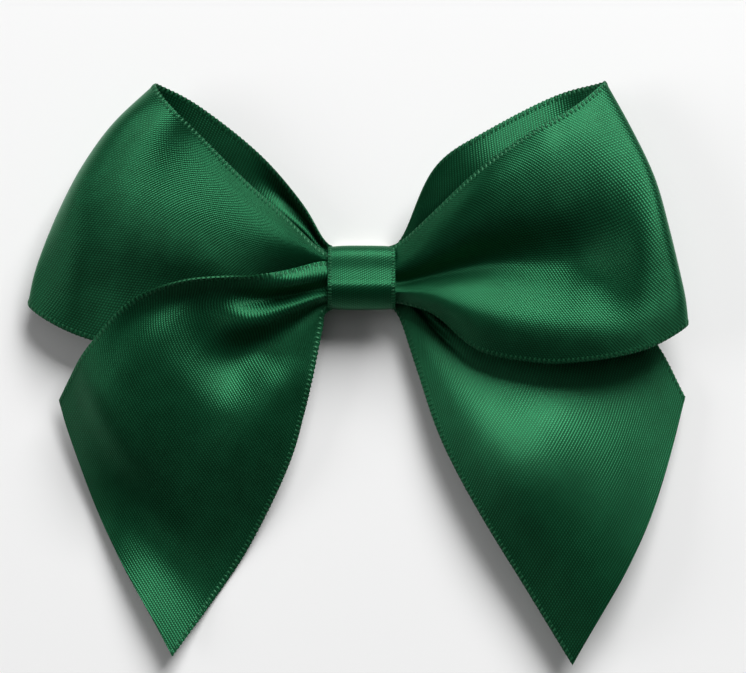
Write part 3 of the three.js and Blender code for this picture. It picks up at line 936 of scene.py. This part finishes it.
# The band's one turn round the waist, as (y, z) points from its hidden inner end round
# the front to the outer end that laps over it. A sharp ridge runs across its front.
BAND_TURN = (
    (1.8, 2.5), (-2.4, 2.5), (-4.2, 3.0), (-4.85, 4.8), (-4.6, 6.6), (-3.3, 8.1), (-1.7, 8.95),
    (-0.4, 8.6), (1.2, 8.1), (3.2, 7.75), (4.3, 6.8), (4.5, 5.0), (3.95, 3.0), (2.2, 2.15),
    (0.6, 2.08), (-2.2, 2.08),
)
WAIST_MIDDLE = (0.2, 5.6)    # y, z
LAP_TOP_Z = 3.2              # the band's lapped ends lie below this, and stay flat
EDGE_HUG = 0.14              # how far the band's edges close in on the waist above it


class BOW_OT_band(bpy.types.Operator):
    """The narrow centre band, one turn round the waist with its ends lapped behind"""

    bl_idname = "bow.band"
    bl_label = "Centre band"

    def execute(self, context):
        bow = sizes()
        low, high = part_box("centre_band")
        middle = (low[0] + high[0]) / 2 / MM
        half = bow.band_width / MM / 2
        stations = []
        for y, z in BAND_TURN:
            hug = EDGE_HUG if z > LAP_TOP_Z else 0.0
            inward = np.array((WAIST_MIDDLE[0] - y, WAIST_MIDDLE[1] - z))
            inward = inward / np.linalg.norm(inward) * hug
            stations.append((
                (middle - half, y + inward[0] * 1.6, z + inward[1] * 1.6),
                (middle - half * 0.55, y, z),
                (middle + half * 0.5, y, z),
                (middle + half, y + inward[0], z + inward[1]),
            ))
        rough = guide_grid(stations, (0, 0.22, 0.75, 1), 90, 13)
        grid = refined(rough, 260, 41)
        centre_line = grid[:, grid.shape[1] // 2]
        length = np.concatenate([[0], np.cumsum(np.linalg.norm(np.diff(centre_line, axis=0), axis=1))])
        across = np.linspace(0, bow.band_width / MM, grid.shape[1])
        flat = np.stack(np.broadcast_arrays(across, length[:, None]), axis=2)
        piece = ribbon_object("centre_band_ribbon", grid, flat, band_satin(), edge_scale=0.7)
        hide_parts("centre_band")
        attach(piece, "knot")
        return {"FINISHED"}


PAD_CORNER = 0.8
TAB_HALF_WIDTH = 2.3
LINER_THICKNESS = 0.09
LINER_GAP = 0.02             # over the surface that the bow lies on
TAB_LIFT = 0.1               # of the tab's tip


class BOW_OT_backing(bpy.types.Operator):
    """The glue bead, adhesive pad and release liner behind the knot"""

    bl_idname = "bow.backing"
    bl_label = "Self-adhesive back"

    def execute(self, context):
        self.add_glue()
        self.add_pad()
        self.add_liner()
        return {"FINISHED"}

    def add_glue(self):
        """A squashed bead with an uneven rim, drawn in so that the rim's waves stay in the CAD bead."""
        low, high = (np.array(corner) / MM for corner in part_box("glue_bead"))
        middle = (low + high) / 2
        reach = (high[0] - low[0]) / 2 * 0.93
        half_height = (high[2] - low[2]) / 2
        around = np.linspace(0, 2 * math.pi, 73)[:-1]
        wavy = 1 + 0.05 * np.sin(3 * around + 0.6) + 0.03 * np.sin(5 * around + 2.1)
        wavy += 0.015 * np.sin(11 * around)
        profile = [(0.35, 1.0), (0.7, 0.98), (0.86, 0.86), (0.96, 0.55), (1.0, 0.0),
                   (0.96, -0.55), (0.86, -0.86), (0.7, -0.98), (0.35, -1.0)]
        rings = [np.stack([middle[0] + reach * share * wavy * np.cos(around),
                           middle[1] + reach * share * wavy * np.sin(around),
                           np.full(len(around), middle[2] + half_height * level)], axis=1)
                 for share, level in profile]
        piece = self.lathed("glue_bead_resin", rings, once("hot_melt_glue", hot_melt_glue))
        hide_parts("glue_bead")
        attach(piece, "knot")

    def add_pad(self):
        """A die-cut square of foam, its cut sides drawn in a little between its two glued faces."""
        low, high = (np.array(corner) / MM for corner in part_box("adhesive_pad"))
        levels = np.linspace(low[2], high[2], 7)
        inset = 0.1 * np.sin(np.linspace(0, math.pi, 7))
        outlines = [(0.06, levels[0])] + list(zip(inset, levels)) + [(0.06, levels[-1])]
        rings = [rounded_outline(low, high, PAD_CORNER, inward, level)
                 for inward, level in reversed(outlines)]
        piece = self.lathed("adhesive_pad_foam", rings, once("closed_cell_foam", closed_cell_foam))
        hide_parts("adhesive_pad")
        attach(piece, "knot")

    def add_liner(self):
        """Release paper with a finger tab whose tip lifts slightly."""
        low, high = (np.array(corner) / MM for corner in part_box("release_liner"))
        pad_low, pad_high = (np.array(corner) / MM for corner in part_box("adhesive_pad"))
        outline = rounded_outline(pad_low, pad_high, PAD_CORNER, 0.0, 0.0)
        half = TAB_HALF_WIDTH
        middle = (high[1] + low[1]) / 2
        angle = np.linspace(-math.pi / 2, math.pi / 2, 19)
        tip = np.stack([high[0] - half + half * np.cos(angle), middle + half * np.sin(angle),
                        np.zeros(len(angle))], axis=1)
        foot = np.array([(pad_high[0], middle - half, 0.0)])
        other_foot = foot * (1, -1, 1) + (0, 2 * middle, 0)
        # The outline starts with its corner at +x, -y, and the tab comes after it.
        first_corner = CORNER_STEPS + 1
        ring = np.concatenate([outline[:first_corner], foot, tip, other_foot, outline[first_corner:]])
        lift = TAB_LIFT * smooth_step((ring[:, 0] - pad_high[0]) / (high[0] - pad_high[0]))
        bottom = low[2] + LINER_GAP
        rings = [np.stack([ring[:, 0], ring[:, 1], level + lift], axis=1)
                 for level in (bottom + LINER_THICKNESS, bottom)]
        piece = self.lathed("release_liner_paper", rings, once("release_paper", release_paper))
        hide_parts("release_liner")
        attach(piece, "release_liner")

    def lathed(self, name, rings, material):
        """A closed solid from matching rings, the first one uppermost."""
        count = len(rings[0])
        vertices = np.concatenate(rings)
        at = np.arange(len(rings) * count).reshape(len(rings), count)
        turned = np.roll(at, -1, axis=1)
        faces = np.stack([at[:-1], at[1:], turned[1:], turned[:-1]], axis=2).reshape(-1, 4).tolist()
        faces += [at[0].tolist(), at[-1][::-1].tolist()]
        return mesh_object(name, vertices, faces, vertices[:, :2], [0] * len(faces), [material])


class BOW_OT_stage(bpy.types.Operator):
    """Pale surface, soft studio lights and the camera straight above the bow"""

    bl_idname = "bow.stage"
    bl_label = "Stage"

    def execute(self, context):
        scene = context.scene
        self.add_floor()
        self.add_light("key_softbox", (0.47, 1.22, 0.99), 0.9, 39.4)
        self.add_light("side_softbox", (-1.3, 0.1, 0.75), 0.8, 5.0)
        self.add_light("top_softbox", (-0.1, 0.25, 0.8), 0.5, 0.35)
        world = bpy.data.worlds.new("studio")
        world.use_nodes = True
        world.node_tree.nodes["Background"].inputs["Color"].default_value = (1, 1, 1, 1)
        world.node_tree.nodes["Background"].inputs["Strength"].default_value = 0.055
        scene.world = world
        scene.view_settings.view_transform = "Standard"
        self.add_camera(scene)
        return {"FINISHED"}

    def add_floor(self):
        """A wide sheet of matt white paper, whose fine grain keeps its reflection soft."""
        mesh = bpy.data.meshes.new("surface")
        half = 2.0
        corners = [(-half, -half, 0), (half, -half, 0), (half, half, 0), (-half, half, 0)]
        mesh.from_pydata(corners, [], [(0, 1, 2, 3)])
        made, tree = new_material("matt_paper")
        place = node(tree, "ShaderNodeTexCoord").outputs["Object"]
        grain = node(tree, "ShaderNodeTexNoise", inputs={"Vector": place, "Scale": 0.9 / MM, "Detail": 4.0})
        bump = node(tree, "ShaderNodeBump", inputs={
            "Height": grain.outputs[0], "Strength": 0.08, "Distance": 0.05 * MM})
        surface = node(tree, "ShaderNodeBsdfPrincipled", inputs={
            "Base Color": linear(colours().floor), "Roughness": 0.8, "Normal": bump.outputs[0]})
        mesh.materials.append(finish_material(made, surface))
        floor = bpy.data.objects.new("surface", mesh)
        bpy.context.scene.collection.objects.link(floor)

    def add_light(self, name, place, size, power):
        """A square softbox that faces the bow."""
        data = bpy.data.lights.new(name, "AREA")
        data.shape = "SQUARE"
        data.size = size
        data.energy = power
        lamp = bpy.data.objects.new(name, data)
        lamp.location = place
        lamp.rotation_euler = (-Vector(place)).to_track_quat("-Z", "Y").to_euler()
        bpy.context.scene.collection.objects.link(lamp)

    def add_camera(self, scene):
        """A long lens straight above the bow, whose view is view_width wide at aim."""
        view_width = 0.11134
        aim = (0.00172, -0.00896, 0.007)
        data = bpy.data.cameras.new("camera")
        data.lens = 200
        data.sensor_width = 36
        distance = view_width * data.lens / data.sensor_width
        camera = bpy.data.objects.new("camera", data)
        camera.location = (aim[0], aim[1], aim[2] + distance)
        data.clip_end = 10
        bpy.context.scene.collection.objects.link(camera)
        scene.camera = camera


class BOW_PT_panel(bpy.types.Panel):
    """Lists the bow's pieces in the sidebar"""

    bl_idname = "BOW_PT_panel"
    bl_label = "Gift Bow"
    bl_space_type = "VIEW_3D"
    bl_region_type = "UI"
    bl_category = "Gift Bow"

    def draw(self, context):
        for group in (context.scene.bow_sizes, context.scene.bow_colours):
            box = self.layout.box()
            for name in group.bl_rna.properties.keys():
                if name not in {"rna_type", "name"}:
                    box.prop(group, name)
        for operator in OPERATORS:
            self.layout.operator(operator.bl_idname)


OPERATORS = (BOW_OT_stage, BOW_OT_tails, BOW_OT_loops, BOW_OT_waist, BOW_OT_thread, BOW_OT_band,
             BOW_OT_backing)
CLASSES = (BowSizes, BowColours, *OPERATORS, BOW_PT_panel)


def register():
    for cls in CLASSES:
        bpy.utils.register_class(cls)
    bpy.types.Scene.bow_sizes = bpy.props.PointerProperty(type=BowSizes)
    bpy.types.Scene.bow_colours = bpy.props.PointerProperty(type=BowColours)


def unregister():
    del bpy.types.Scene.bow_colours
    del bpy.types.Scene.bow_sizes
    for cls in reversed(CLASSES):
        bpy.utils.unregister_class(cls)


def main():
    register()
    bpy.ops.bow.stage()
    bpy.ops.bow.tails()
    bpy.ops.bow.loops()
    bpy.ops.bow.waist()
    bpy.ops.bow.thread()
    bpy.ops.bow.band()
    bpy.ops.bow.backing()


if __name__ == "__main__":
    main()
